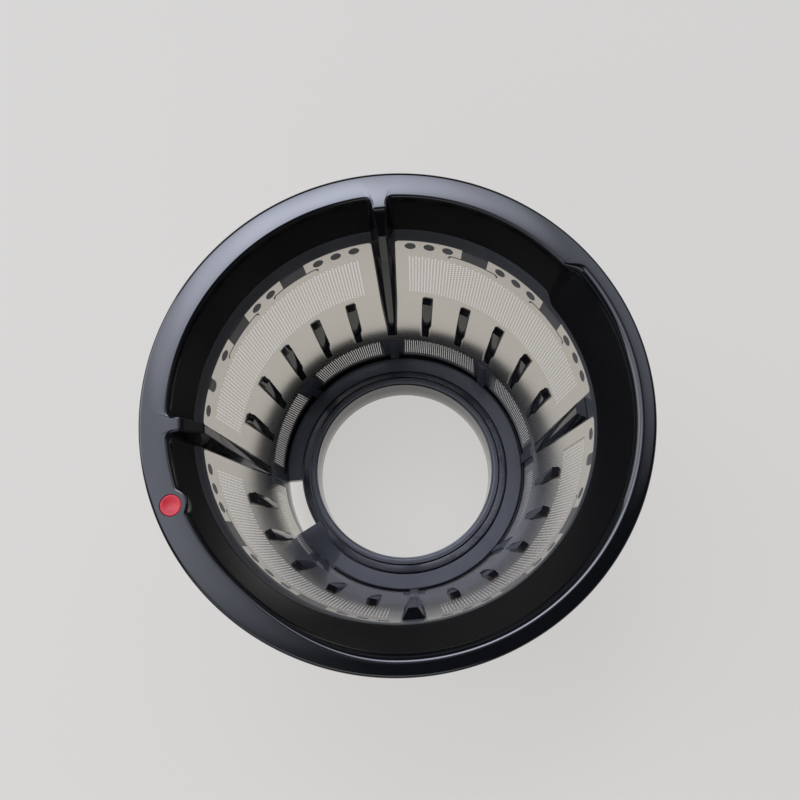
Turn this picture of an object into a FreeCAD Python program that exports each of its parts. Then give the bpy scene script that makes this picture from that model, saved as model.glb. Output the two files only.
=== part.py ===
"""Strainer basket of a slow juicer, standing on its spigot with the wide rim up.

A glossy moulded frame carries two half-cone sheets of perforated steel and a coloured index plug.
Z is the basket's axis and z = 0 is the foot of the spigot. Azimuth is measured from +X towards +Y.
"""
import FreeCAD, Part
import os
import re
import Sketcher
from FreeCAD import Placement, Rotation, Vector

# Driving dimensions, in millimetres and degrees.
SIZES = {
    # Radii, from the bore outwards.
    "bore_radius": 29.5,
    "spigot_wall": 2.7,
    "lip_slope": 2.6,
    "trough_width": 5.45,
    "cone_taper": 8.55,
    "band_flare": 1.4,
    "wall_flare": 3.1,
    "rim_width": 6.7,
    # Heights, from the foot upwards.
    "spigot_drop": 9.8,
    "floor_thickness": 3.2,
    "lip_height": 2.8,
    "lower_margin": 3.5,
    "lower_window_height": 11.5,
    "ridge_gap": 3.0,
    "ridge_length": 26.5,
    "window_gap": 1.9,
    "upper_window_height": 22.6,
    "tab_margin": 6.6,
    "band_height": 3.7,
    "wall_height": 11.7,
    # Walls and edges of the frame.
    "cage_wall": 2.0,
    "skirt_wall": 2.4,
    "skirt_lift": 5.5,
    "rim_band": 6.5,
    "rim_overhang": 2.8,
    "collar_draft": 0.8,
    "collar_drop": 7.5,
    "shoulder_drop": 5.0,
    "rim_edge": 1.2,
    "fine_edge": 0.5,
    # Windows of the cage.
    "upper_window_angle": 77.0,
    "lower_window_half": 11.8,
    "pillar_lean": 1.05,
    # Ribs and ridges, trimmed to one envelope that the auger turns in.
    "ridge_pitch": 15.0,
    "ridge_proud": 0.1,
    "ridge_half": 1.35,
    "ridge_bevel": 1.4,
    "tail_length": 7.5,
    "tail_low_half": 0.6,
    "tail_high_half": 1.2,
    "root_depth": 1.0,
    "envelope_rise": 4.1,
    "crest_drop": 7.0,
    "rib_tab": 3.2,
    "rib_tab_half": 2.0,
    "rib_crest_half": 1.2,
    "rib_crest_root_half": 3.2,
    "rib_foot_half": 0.9,
    "rib_foot_root_half": 1.3,
    "pip_half": 1.45,
    "pip_drop": 1.0,
    "pip_proud": 1.2,
    # Cut-away sector of the collar.
    "cutaway_middle": 328.5,
    "cutaway_angle": 133.0,
    "cutaway_step": 2.4,
    "cutaway_floor": 1.4,
    "cutaway_rib_drop": 4.1,
    "cutaway_skim": 0.15,
    "cutaway_reach": 12.0,
    "fade_offset": 8.9,
    "fade_angle": 110.0,
    # Pulp outlet and the ramp behind it.
    "outlet_middle": 194.2,
    "outlet_angle": 26.6,
    "outlet_overcut": 0.2,
    "ramp_angle": 22.5,
    "ramp_clearance": 0.1,
    "ramp_root": 1.2,
    # Index plug.
    "plug_azimuth": 199.7,
    "plug_inset": 4.2,
    "plug_radius": 2.5,
    "plug_depth": 2.0,
    "plug_dish": 0.3,
    "plug_clearance": 0.05,
    "boss_wall": 1.6,
    "boss_depth": 7.0,
    # Steel sheets.
    "sheet_thickness": 0.4,
    "sheet_foot": 2.5,
    "sheet_seam": 0.3,
    "slot_top_half": 3.25,
    "slot_foot_half": 1.5,
    "ridge_clearance": 0.25,
    "pillar_half": 3.4,
    "gap_half": 3.6,
    "gap_depth": 4.4,
    "slit_reach": 7.2,
    "slit_width": 0.55,
    "slit_hook": 1.5,
    "slit_bevel": 0.8,
    "hole_radius": 1.5,
    "hole_depth": 2.6,
    "hole_pitch": 6.0,
    "notch_azimuth": 163.7,
    "notch_radius": 1.5,
    "notch_depth": 3.0,
    # Openings of the mesh.
    "mesh_margin": 1.1,
    "mesh_bar": 1.3,
    "upper_mesh_start": 11.6,
    "upper_mesh_pitch": 6.15,
    "upper_mesh_half": 1.85,
    "lower_mesh_near": 7.6,
    "lower_mesh_far": 53.8,
    "lower_mesh_pitch": 3.2,
    "lower_mesh_half": 0.75,
}

# Levels above the foot, as expressions on the sizes.
FLOOR = "(spigot_drop + floor_thickness)"
LOWER_FOOT = f"({FLOOR} + lower_margin)"
LOWER_TOP = f"({LOWER_FOOT} + lower_window_height)"
RIDGE_FOOT = f"({LOWER_TOP} + ridge_gap)"
RIDGE_TOP = f"({RIDGE_FOOT} + ridge_length)"
UPPER_FOOT = f"({RIDGE_TOP} + window_gap)"
UPPER_TOP = f"({UPPER_FOOT} + upper_window_height)"
CONE_TOP = f"({UPPER_TOP} + tab_margin)"
BAND_TOP = f"({CONE_TOP} + band_height)"
RIM_TOP = f"({BAND_TOP} + wall_height)"
RIB_CREST = f"({RIM_TOP} - crest_drop)"

# Radii, as expressions on the sizes.
SPIGOT = "(bore_radius + spigot_wall)"
TROUGH = f"({SPIGOT} + lip_slope)"
CONE_FOOT_RADIUS = f"({TROUGH} + trough_width)"
CONE_TOP_RADIUS = f"({CONE_FOOT_RADIUS} + cone_taper)"
BAND_RADIUS = f"({CONE_TOP_RADIUS} + band_flare)"
RIM_INNER = f"({BAND_RADIUS} + wall_flare)"
RIM_RADIUS = f"({RIM_INNER} + rim_width)"
COLLAR = f"({RIM_RADIUS} - rim_overhang)"
PLUG_RADIUS_AT = f"({RIM_RADIUS} - plug_inset)"
CAGE = "(sheet_thickness + cage_wall)"

QUARTERS = (0, 90, 180, 270)
LEANING_PILLARS = (45, 135, 225, 315)
SHEET_SPAN = 180
RIDGES_IN_QUARTER = 5
UPPER_MESH_COLUMNS = 12
UPPER_MESH_ROWS = 3
LOWER_MESH_COLUMNS = 10
TAB_GAPS = (30.5, 60.5, 120.5, 144.5)
# First azimuth, number and spacing in pitches of each row of anchor holes.
HOLE_ROWS = ((9.5, 3, 1), (39.5, 3, 1), (69.5, 3, 1), (99.5, 3, 1), (129.5, 2, 1), (153.5, 2, 3))


def cone_at(level):
    """Radius of the basket's inner cone at a level."""
    return f"({CONE_FOOT_RADIUS} + cone_taper * ({level} - {FLOOR}) / ({CONE_TOP} - {FLOOR}))"


def envelope_at(level):
    """Radius that the ribs and ridges reach in to at a level."""
    rise = f"envelope_rise * ({level} - {RIDGE_FOOT}) / ({RIB_CREST} - {RIDGE_FOOT})"
    return f"({cone_at(RIDGE_FOOT)} - ridge_proud + {rise})"


def sized(text):
    """Points the names of sizes in an expression at the sheet."""
    return re.sub(r"[a-z_]+", lambda found: f"Sizes.{found[0]}" if found[0] in SIZES else found[0], str(text))


def value(text):
    """Number that an expression on the sizes gives."""
    return float(sizes.evalExpression(sized(text)))


def make_sheet_of_sizes():
    """Writes every driving dimension to an aliased cell."""
    table = doc.addObject("Spreadsheet::Sheet", "Sizes")
    for row, (name, number) in enumerate(SIZES.items(), start=1):
        table.set(f"A{row}", name)
        table.set(f"B{row}", str(number))
        table.setAlias(f"B{row}", name)
    doc.recompute()
    return table


def origin_plane(body, role):
    """One of a body's own origin planes."""
    return next(item for item in body.Origin.OriginFeatures if item.Role == role)


def new_body(name):
    """Body that may hold several solids, as the repeats of one feature."""
    body = doc.addObject("PartDesign::Body", name)
    body.AllowCompound = True
    return body


def radial_sketch(body, name, azimuth="0"):
    """Sketch on an upright plane through the axis, with its first axis pointing outwards at an azimuth."""
    sketch = body.newObject("Sketcher::SketchObject", name)
    sketch.AttachmentSupport = [(origin_plane(body, "XZ_Plane"), "")]
    sketch.MapMode = "FlatFace"
    sketch.AttachmentOffset = Placement(Vector(), Rotation(Vector(0, 1, 0), 0))
    sketch.setExpression("AttachmentOffset.Rotation.Angle", sized(azimuth))
    return sketch


def facing_sketch(body, name, azimuth):
    """Sketch on an upright plane inside the cone, facing outwards at an azimuth."""
    sketch = body.newObject("Sketcher::SketchObject", name)
    sketch.AttachmentSupport = [(origin_plane(body, "YZ_Plane"), "")]
    sketch.MapMode = "FlatFace"
    sketch.AttachmentOffset = Placement(Vector(), Rotation(Vector(0, 1, 0), 0))
    sketch.setExpression("AttachmentOffset.Rotation.Angle", sized(azimuth))
    sketch.setExpression("AttachmentOffset.Base.x", sized(f"{TROUGH} * sin({azimuth})"))
    sketch.setExpression("AttachmentOffset.Base.z", sized(f"{TROUGH} * cos({azimuth})"))
    return sketch


def level_sketch(body, name, level, turned=0):
    """Sketch on a flat plane at a level, turned about the axis."""
    sketch = body.newObject("Sketcher::SketchObject", name)
    sketch.AttachmentSupport = [(origin_plane(body, "XY_Plane"), "")]
    sketch.MapMode = "FlatFace"
    sketch.AttachmentOffset = Placement(Vector(), Rotation(Vector(0, 0, 1), turned))
    sketch.setExpression("AttachmentOffset.Base.z", sized(level))
    return sketch


def place(sketch, geometry, point, across, up):
    """Ties one point of a sketch's geometry to two expressions from the origin."""
    for kind, text in (("DistanceX", across), ("DistanceY", up)):
        index = sketch.addConstraint(Sketcher.Constraint(kind, -1, 1, geometry, point, value(text)))
        sketch.setExpression(f"Constraints[{index}]", sized(text))


def draw_polygon(sketch, corners):
    """Closed polygon whose corners are pairs of expressions."""
    spots = [Vector(value(across), value(up), 0) for across, up in corners]
    count = len(spots)
    first = sketch.GeometryCount
    for index in range(count):
        sketch.addGeometry(Part.LineSegment(spots[index], spots[(index + 1) % count]), False)
    for index in range(count):
        after = first + (index + 1) % count
        sketch.addConstraint(Sketcher.Constraint("Coincident", first + index, 2, after, 1))
    for index, (across, up) in enumerate(corners):
        place(sketch, first + index, 1, across, up)


def draw_circle(sketch, across, up, radius):
    """Circle with its centre and radius as expressions."""
    circle = Part.Circle(Vector(value(across), value(up), 0), Vector(0, 0, 1), value(radius))
    geometry = sketch.addGeometry(circle, False)
    place(sketch, geometry, 3, across, up)
    index = sketch.addConstraint(Sketcher.Constraint("Radius", geometry, value(radius)))
    sketch.setExpression(f"Constraints[{index}]", sized(radius))


def draw_axis(sketch, across):
    """Upright construction line that a sketch can be turned about."""
    foot = Vector(value(across), 0, 0)
    head = Vector(value(across), value(FLOOR), 0)
    geometry = sketch.addGeometry(Part.LineSegment(foot, head), True)
    place(sketch, geometry, 1, across, "0")
    place(sketch, geometry, 2, across, FLOOR)


def turn(body, name, sketch, angle, axis="V_Axis"):
    """Revolution spread evenly to both sides of its sketch."""
    feature = body.newObject("PartDesign::Revolution", name)
    feature.Profile = sketch
    feature.ReferenceAxis = (sketch, [axis])
    feature.Midplane = True
    feature.setExpression("Angle", sized(angle))
    return feature


def pad_outwards(body, name, sketch):
    """Pad from a facing sketch, out past the wall on that side."""
    feature = body.newObject("PartDesign::Pad", name)
    feature.Profile = sketch
    feature.setExpression("Length", sized(f"{RIM_RADIUS} - {TROUGH}"))
    return feature


def pad_both_ways(body, name, sketch, low, high):
    """Pad by one length towards lower azimuths and by another towards higher ones."""
    feature = body.newObject("PartDesign::Pad", name)
    feature.Profile = sketch
    feature.SideType = "Two sides"
    feature.setExpression("Length", sized(low))
    feature.setExpression("Length2", sized(high))
    return feature


def loft(body, name, sections):
    """Straight-sided loft through two or more sections."""
    feature = body.newObject("PartDesign::AdditiveLoft", name)
    feature.Profile = sections[0]
    feature.Sections = sections[1:]
    feature.Ruled = True
    return feature


def repeat(body, name, features, count, angle):
    """Polar pattern about the basket's axis, over a whole angle."""
    pattern = body.newObject("PartDesign::PolarPattern", name)
    pattern.Originals = features
    pattern.Axis = (origin_plane(body, "Z_Axis"), [""])
    pattern.Occurrences = count
    pattern.setExpression("Angle", sized(angle))
    body.Tip = pattern
    return pattern


def join(kind, name, base, tool):
    """Boolean of two objects."""
    result = doc.addObject(kind, name)
    result.Base = base
    result.Tool = tool
    doc.recompute()
    return result


def circles_at(shape, spots):
    """Names of the full circular edges about the axis at the given radii and levels."""
    wanted = [(value(radius), value(level)) for radius, level in spots]
    names = []
    for number, edge in enumerate(shape.Edges, start=1):
        if not isinstance(edge.Curve, Part.Circle):
            continue
        if any(abs(edge.Curve.Radius - r) < 1e-4 and abs(edge.Curve.Center.z - z) < 1e-4 for r, z in wanted):
            names.append(f"Edge{number}")
    return names


def round_edges(body, name, base, spots, radius):
    """Fillet on circular edges, found by radius and level."""
    doc.recompute()
    feature = body.newObject("PartDesign::Fillet", name)
    feature.Base = (base, circles_at(base.Shape, spots))
    feature.setExpression("Radius", sized(radius))
    doc.recompute()
    return feature


def make_frame_blank():
    """Rim, collar, cone cage, skirt, floor and spigot, turned as one section."""
    body = new_body("frame_blank")
    skirt = f"{cone_at(FLOOR)} + {CAGE}"
    under_rim = f"{RIM_TOP} - rim_band"
    shoulder = f"{CONE_TOP} - shoulder_drop"
    section = radial_sketch(body, "frame_section")
    draw_polygon(section, [
        (RIM_INNER, RIM_TOP),
        (RIM_RADIUS, RIM_TOP),
        (RIM_RADIUS, under_rim),
        (COLLAR, under_rim),
        (f"{COLLAR} - collar_draft", f"{under_rim} - collar_drop"),
        (f"{cone_at(shoulder)} + {CAGE}", shoulder),
        (skirt, FLOOR),
        (skirt, "skirt_lift"),
        (f"{skirt} - skirt_wall", "skirt_lift"),
        (f"{skirt} - skirt_wall", "spigot_drop"),
        (SPIGOT, "spigot_drop"),
        (SPIGOT, "0"),
        ("bore_radius", "0"),
        ("bore_radius", f"{FLOOR} + lip_height"),
        (SPIGOT, f"{FLOOR} + lip_height"),
        (TROUGH, FLOOR),
        (CONE_FOOT_RADIUS, FLOOR),
        (CONE_TOP_RADIUS, CONE_TOP),
        (BAND_RADIUS, BAND_TOP),
    ])
    turned = turn(body, "turned_frame", section, 360)
    rim_spots = [(RIM_RADIUS, RIM_TOP), (RIM_RADIUS, under_rim)]
    rim = round_edges(body, "rim_rounding", turned, rim_spots, "rim_edge")
    fine_spots = [(RIM_INNER, RIM_TOP), (SPIGOT, "0"), (skirt, "skirt_lift"), (f"{skirt} - skirt_wall", "skirt_lift")]
    fine_spots += [("bore_radius", f"{FLOOR} + lip_height"), (SPIGOT, f"{FLOOR} + lip_height")]
    round_edges(body, "fine_rounding", rim, fine_spots, "fine_edge")
    return body


def windows(body):
    """Four wide windows behind the upper mesh and eight small ones behind the lower mesh."""
    upper = radial_sketch(body, "upper_window_section", 45)
    draw_polygon(upper, [
        (TROUGH, UPPER_FOOT),
        (RIM_RADIUS, UPPER_FOOT),
        (RIM_RADIUS, UPPER_TOP),
        (TROUGH, UPPER_TOP),
    ])
    groove = turn(body, "upper_window", upper, "upper_window_angle")
    repeat(body, "upper_windows", [groove], 4, 360)
    near = facing_sketch(body, "lower_window_near_outline", 22.5)
    draw_polygon(near, [
        ("-lower_window_half", LOWER_FOOT),
        ("lower_window_half - pillar_lean", LOWER_FOOT),
        ("lower_window_half + pillar_lean", LOWER_TOP),
        ("-lower_window_half", LOWER_TOP),
    ])
    far = facing_sketch(body, "lower_window_far_outline", 67.5)
    draw_polygon(far, [
        ("-lower_window_half - pillar_lean", LOWER_FOOT),
        ("lower_window_half", LOWER_FOOT),
        ("lower_window_half", LOWER_TOP),
        ("-lower_window_half + pillar_lean", LOWER_TOP),
    ])
    pair = [pad_outwards(body, "lower_window_near", near), pad_outwards(body, "lower_window_far", far)]
    repeat(body, "lower_windows", pair, 4, 360)


def rib_section(body, name, level, inner, root, inner_half, root_half):
    """Cross-section of an upright rib on the +Y side."""
    sketch = level_sketch(body, name, level)
    draw_polygon(sketch, [
        (f"-({inner_half})", inner),
        (inner_half, inner),
        (root_half, root),
        (f"-({root_half})", root),
    ])
    return sketch


def main_ribs(body):
    """Four tapered ribs from the rim down to the foot of the ridges."""
    crest_root = f"{RIM_INNER} - root_depth"
    foot_root = f"{cone_at(RIDGE_FOOT)} + root_depth"
    tab_root = f"{RIM_INNER} + root_depth"
    foot = rib_section(body, "rib_foot", RIDGE_FOOT, envelope_at(RIDGE_FOOT), foot_root,
                       "rib_foot_half", "rib_foot_root_half")
    crest = rib_section(body, "rib_crest", RIB_CREST, envelope_at(RIB_CREST), crest_root,
                        "rib_crest_half", "rib_crest_root_half")
    tab = rib_section(body, "rib_tab_top", RIM_TOP, f"{RIM_INNER} - rib_tab", tab_root,
                      "rib_tab_half", "rib_tab_half")
    lower = loft(body, "rib_shank", [foot, crest])
    upper = loft(body, "rib_head", [crest, tab])
    repeat(body, "ribs", [lower, upper], 4, 360)


def wedge_ridges(body):
    """Five low wedges in each quarter, steep at the top and running out at the foot."""
    crest = f"{RIDGE_TOP} - ridge_bevel"
    split = f"{RIDGE_FOOT} + tail_length"
    for quarter in QUARTERS:
        azimuth = f"{quarter} + ridge_pitch"
        head = radial_sketch(body, f"ridge_head_section_{quarter}", azimuth)
        draw_polygon(head, [
            (f"{cone_at(RIDGE_TOP)} + root_depth", RIDGE_TOP),
            (f"{cone_at(RIDGE_TOP)} - ridge_proud", RIDGE_TOP),
            (envelope_at(crest), crest),
            (envelope_at(split), split),
            (f"{cone_at(split)} + root_depth", split),
        ])
        tail = radial_sketch(body, f"ridge_tail_section_{quarter}", azimuth)
        draw_polygon(tail, [
            (f"{cone_at(split)} + root_depth", split),
            (envelope_at(split), split),
            (envelope_at(RIDGE_FOOT), RIDGE_FOOT),
            (f"{cone_at(RIDGE_FOOT)} + root_depth", RIDGE_FOOT),
        ])
        pads = [
            pad_both_ways(body, f"ridge_head_{quarter}", head, "ridge_half", "ridge_half"),
            pad_both_ways(body, f"ridge_tail_{quarter}", tail, "tail_low_half", "tail_high_half"),
        ]
        repeat(body, f"ridges_{quarter}", pads, RIDGES_IN_QUARTER, f"ridge_pitch * {RIDGES_IN_QUARTER - 1}")


def pip_section(body, name, level, turned, shift):
    """Cross-section of a short rib on a lower pillar, shifted towards lower azimuths."""
    sketch = level_sketch(body, name, level, turned)
    inner = f"{cone_at(level)} - pip_proud"
    root = f"{cone_at(level)} + root_depth"
    draw_polygon(sketch, [
        (f"{shift} - pip_half", inner),
        (f"{shift} + pip_half", inner),
        (f"{shift} + pip_half", root),
        (f"{shift} - pip_half", root),
    ])
    return sketch


def pillar_pips(body):
    """Short ribs on the eight lower pillars, upright below the main ribs and leaning between them."""
    top = f"({LOWER_TOP} - pip_drop)"
    for kind, turned, lean in (("upright", 0, "0"), ("leaning", 45, "pillar_lean")):
        foot_section = pip_section(body, f"pip_{kind}_foot", FLOOR, turned, lean)
        top_section = pip_section(body, f"pip_{kind}_top", top, turned, f"-{lean}")
        repeat(body, f"pips_{kind}", [loft(body, f"pip_{kind}", [foot_section, top_section])], 4, 360)


def cutaway_outline(sketch):
    """Section that the cut-away removes: the wall of the collar and the heads of the ribs."""
    inner = f"{CONE_TOP_RADIUS} - cutaway_reach"
    rib_cut = f"({CONE_TOP} - cutaway_rib_drop)"
    top = f"{RIM_INNER} + cutaway_step"
    draw_polygon(sketch, [
        (inner, rib_cut),
        (f"{cone_at(rib_cut)} - cutaway_skim", rib_cut),
        (f"{CONE_TOP_RADIUS} - cutaway_skim", CONE_TOP),
        (f"{CONE_TOP_RADIUS} + band_flare * cutaway_floor / band_height", f"{CONE_TOP} + cutaway_floor"),
        (top, RIM_TOP),
        (top, f"{RIM_TOP} + rim_edge"),
        (inner, f"{RIM_TOP} + rim_edge"),
    ])


def cutaway(body):
    """Sector where the collar is thinner, with a square step at one end and a fade at the other."""
    sector = radial_sketch(body, "cutaway_section", "cutaway_middle")
    cutaway_outline(sector)
    turn(body, "cutaway", sector, "cutaway_angle")
    fade = radial_sketch(body, "fade_section", "cutaway_middle - cutaway_angle / 2")
    cutaway_outline(fade)
    draw_axis(fade, "fade_offset")
    turn(body, "cutaway_fade", fade, "fade_angle", "Axis0")


def ramp_section(body, name, azimuth, rise):
    """Upright section of the ramp behind the outlet."""
    sketch = radial_sketch(body, name, azimuth)
    draw_polygon(sketch, [
        (SPIGOT, f"{FLOOR} - ramp_root"),
        (f"{CONE_FOOT_RADIUS} + ramp_root", f"{FLOOR} - ramp_root"),
        (f"{CONE_FOOT_RADIUS} + ramp_root", f"{FLOOR} + {rise}"),
        (SPIGOT, f"{FLOOR} + {rise}"),
    ])
    return sketch


def outlet_ramp(body):
    """Ramp that lifts the pulp at the outlet's far edge."""
    edge = "(outlet_middle + outlet_angle / 2)"
    rise = "(sheet_foot - ramp_clearance)"
    sections = [
        ramp_section(body, "ramp_high", edge, rise),
        ramp_section(body, "ramp_middle", f"{edge} + ramp_angle / 2", f"{rise} / 2"),
        ramp_section(body, "ramp_low", f"{edge} + ramp_angle", "0"),
    ]
    loft(body, "ramp", sections)


def outlet_window(body):
    """Window in the floor that the pulp leaves by."""
    outlet = radial_sketch(body, "outlet_section", "outlet_middle")
    draw_polygon(outlet, [
        (TROUGH, "skirt_lift"),
        (f"{CONE_FOOT_RADIUS} + outlet_overcut", "skirt_lift"),
        (f"{CONE_FOOT_RADIUS} + outlet_overcut", f"{FLOOR} + lip_height"),
        (TROUGH, f"{FLOOR} + lip_height"),
    ])
    turn(body, "outlet", outlet, "outlet_angle")


def plug_spot():
    """Place of the index plug on the rim, as two expressions."""
    return f"{PLUG_RADIUS_AT} * cos(plug_azimuth)", f"{PLUG_RADIUS_AT} * sin(plug_azimuth)"


def rim_cylinder(body, name, radius, depth):
    """Upright cylinder around the index plug's axis, hanging from the top of the rim."""
    across, along = plug_spot()
    outline = level_sketch(body, f"{name}_outline", RIM_TOP)
    draw_circle(outline, across, along, radius)
    pad = body.newObject("PartDesign::Pad", name)
    pad.Profile = outline
    pad.Reversed = True
    pad.setExpression("Length", sized(depth))


def make_frame_additions():
    """What stands on the frame's turned blank: ribs, ridges, ramp and the index plug's boss."""
    body = new_body("frame_additions")
    main_ribs(body)
    wedge_ridges(body)
    pillar_pips(body)
    outlet_ramp(body)
    rim_cylinder(body, "boss", "plug_radius + boss_wall", "boss_depth")
    return body


def make_frame_openings():
    """What is taken out of the frame: windows, cut-away, outlet and the index plug's hole."""
    body = new_body("frame_openings")
    windows(body)
    cutaway(body)
    outlet_window(body)
    rim_cylinder(body, "plug_hole", "plug_radius + plug_clearance", "plug_depth")
    return body


def rib_slots(body):
    """V-shaped slots in a sheet for the ribs, a whole one in the middle and half ones at its ends."""
    for azimuth in (0, 90, 180):
        sketch = facing_sketch(body, f"rib_slot_outline_{azimuth}", azimuth)
        draw_polygon(sketch, [
            ("-slot_foot_half", RIDGE_FOOT),
            ("slot_foot_half", RIDGE_FOOT),
            ("slot_top_half", CONE_TOP),
            ("slot_top_half", BAND_TOP),
            ("-slot_top_half", BAND_TOP),
            ("-slot_top_half", CONE_TOP),
        ])
        pad_outwards(body, f"rib_slot_{azimuth}", sketch)


def ridge_slots(body):
    """Slots in a sheet for the ridges, narrower at the foot."""
    low = "(ridge_half + ridge_clearance)"
    split = f"{RIDGE_FOOT} + tail_length"
    for quarter in (0, 90):
        sketch = facing_sketch(body, f"ridge_slot_outline_{quarter}", f"{quarter} + ridge_pitch")
        draw_polygon(sketch, [
            ("-tail_low_half - ridge_clearance", RIDGE_FOOT),
            ("tail_high_half + ridge_clearance", RIDGE_FOOT),
            (low, split),
            (low, RIDGE_TOP),
            (f"-{low}", RIDGE_TOP),
            (f"-{low}", split),
            ("-tail_low_half - ridge_clearance", f"{split} - ridge_bevel"),
        ])
        pocket = pad_outwards(body, f"ridge_slot_{quarter}", sketch)
        repeat(body, f"ridge_slots_{quarter}", [pocket], RIDGES_IN_QUARTER, f"ridge_pitch * {RIDGES_IN_QUARTER - 1}")


def pillar_notches(body):
    """Notches in a sheet's lower edge for the pillars of the cage."""
    foot = f"{FLOOR} + sheet_foot / 2"
    for azimuth in (0, 45, 90, 135, 180):
        lean = "pillar_lean" if azimuth in LEANING_PILLARS else "0"
        sketch = facing_sketch(body, f"pillar_notch_outline_{azimuth}", azimuth)
        draw_polygon(sketch, [
            (f"-pillar_half - {lean}", foot),
            (f"pillar_half - {lean}", foot),
            (f"pillar_half + {lean}", LOWER_TOP),
            (f"-pillar_half + {lean}", LOWER_TOP),
        ])
        pad_outwards(body, f"pillar_notch_{azimuth}", sketch)


def tab_gaps(body):
    """Gaps between the tabs of a sheet's upper edge, each with a relief slit at its foot."""
    top = f"{CONE_TOP} - gap_depth"
    inner = "(slit_reach - slit_width)"
    bend = "(slit_reach - slit_bevel)"
    right = [
        ("gap_half", BAND_TOP),
        ("gap_half", top),
        (bend, top),
        ("slit_reach", f"{top} - slit_bevel"),
        ("slit_reach", f"{top} - slit_hook"),
        (inner, f"{top} - slit_hook"),
        (inner, f"{top} - slit_bevel - slit_width / 2"),
        (f"{bend} - slit_width / 2", f"{top} - slit_width"),
    ]
    left = [(f"-{across}", up) for across, up in reversed(right)]
    for number, azimuth in enumerate(TAB_GAPS):
        sketch = facing_sketch(body, f"tab_gap_outline_{number}", azimuth)
        draw_polygon(sketch, right + left)
        pad_outwards(body, f"tab_gap_{number}", sketch)


def anchor_holes(body):
    """Round holes in a sheet's tabs that the plastic flows through, and one open notch."""
    level = f"{CONE_TOP} - hole_depth"
    for number, (first, count, step) in enumerate(HOLE_ROWS):
        sketch = facing_sketch(body, f"hole_outline_{number}", first)
        draw_circle(sketch, "0", level, "hole_radius")
        pocket = pad_outwards(body, f"hole_{number}", sketch)
        repeat(body, f"holes_{number}", [pocket], count, f"hole_pitch * {step * (count - 1)}")
    foot = f"{CONE_TOP} - notch_depth"
    round_end = facing_sketch(body, "notch_end_outline", "notch_azimuth")
    draw_circle(round_end, "0", foot, "notch_radius")
    pad_outwards(body, "notch_end", round_end)
    mouth = facing_sketch(body, "notch_mouth_outline", "notch_azimuth")
    draw_polygon(mouth, [
        ("-notch_radius", foot),
        ("notch_radius", foot),
        ("notch_radius", BAND_TOP),
        ("-notch_radius", BAND_TOP),
    ])
    pad_outwards(body, "notch_mouth", mouth)


def make_rear_sheet():
    """Half-cone sheet on the +Y side, with its slots, tabs and holes, before its mesh."""
    blank = new_body("sheet_blank")
    foot = f"({FLOOR} + sheet_foot)"
    section = radial_sketch(blank, "sheet_section", 90)
    draw_polygon(section, [
        (cone_at(foot), foot),
        (f"{cone_at(foot)} + sheet_thickness", foot),
        (f"{CONE_TOP_RADIUS} + sheet_thickness", CONE_TOP),
        (CONE_TOP_RADIUS, CONE_TOP),
    ])
    turn(blank, "turned_sheet", section, f"{SHEET_SPAN} - sheet_seam")
    body = new_body("sheet_openings")
    rib_slots(body)
    ridge_slots(body)
    pillar_notches(body)
    tab_gaps(body)
    anchor_holes(body)
    return join("Part::Cut", "plain_sheet_rear", blank, body)


def draw_column(sketch, half, spans):
    """Rectangles above each other, one for each pair of levels."""
    for foot, top in spans:
        draw_polygon(sketch, [
            (f"-{half}", foot),
            (half, foot),
            (half, top),
            (f"-{half}", top),
        ])


def mesh_openings():
    """Grid of openings in front of the cage's windows, wide ones above and slots below."""
    body = new_body("mesh_openings")
    row = f"((upper_window_height - mesh_margin * 2 - mesh_bar * {UPPER_MESH_ROWS - 1}) / {UPPER_MESH_ROWS})"
    feet = [f"({UPPER_FOOT} + mesh_margin + ({row} + mesh_bar) * {number})" for number in range(UPPER_MESH_ROWS)]
    upper = [(foot, f"{foot} + {row}") for foot in feet]
    lower = [(f"{LOWER_FOOT} + mesh_margin", f"{LOWER_TOP} - mesh_margin")]
    fields = (
        ("upper_mesh_start", "upper_mesh_pitch", "upper_mesh_half", UPPER_MESH_COLUMNS, upper),
        ("lower_mesh_near", "lower_mesh_pitch", "lower_mesh_half", LOWER_MESH_COLUMNS, lower),
        ("lower_mesh_far", "lower_mesh_pitch", "lower_mesh_half", LOWER_MESH_COLUMNS, lower),
    )
    for quarter in (0, 90):
        for start, pitch, half, columns, spans in fields:
            sketch = facing_sketch(body, f"{start}_outline_{quarter}", f"{quarter} + {start}")
            draw_column(sketch, half, spans)
            column = pad_outwards(body, f"{start}_column_{quarter}", sketch)
            repeat(body, f"{start}_columns_{quarter}", [column], columns, f"{pitch} * {columns - 1}")
    return body


def turned_sheet(name, rear):
    """A sheet again, turned half way round the axis."""
    sheet = doc.addObject("Part::Feature", name)
    sheet.Shape = rear.Shape.copy()
    sheet.Placement = Placement(Vector(), Rotation(Vector(0, 0, 1), SHEET_SPAN))
    return sheet


def make_frame(rear, front):
    """The frame, with the sheets' room taken out of it so that its plastic fills their holes."""
    half_cut = join("Part::Cut", "blank_less_rear_sheet", make_frame_blank(), rear)
    lining = join("Part::Cut", "blank_less_sheets", half_cut, front)
    closed = join("Part::Fuse", "closed_frame", lining, make_frame_additions())
    return join("Part::Cut", "frame", closed, make_frame_openings())


def make_index_plug():
    """Coloured plug with a shallow dish, pressed into the rim."""
    body = new_body("index_plug")
    foot = f"{RIM_TOP} - plug_depth"
    section = radial_sketch(body, "plug_section")
    draw_polygon(section, [
        ("0", foot),
        ("plug_radius", foot),
        ("plug_radius", f"{RIM_TOP} - plug_dish"),
        ("plug_radius - plug_dish", RIM_TOP),
        ("0", f"{RIM_TOP} - plug_dish"),
    ])
    turn(body, "turned_plug", section, 360)
    across, along = plug_spot()
    body.setExpression("Placement.Base.x", sized(across))
    body.setExpression("Placement.Base.y", sized(along))
    doc.recompute()
    return body


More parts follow.
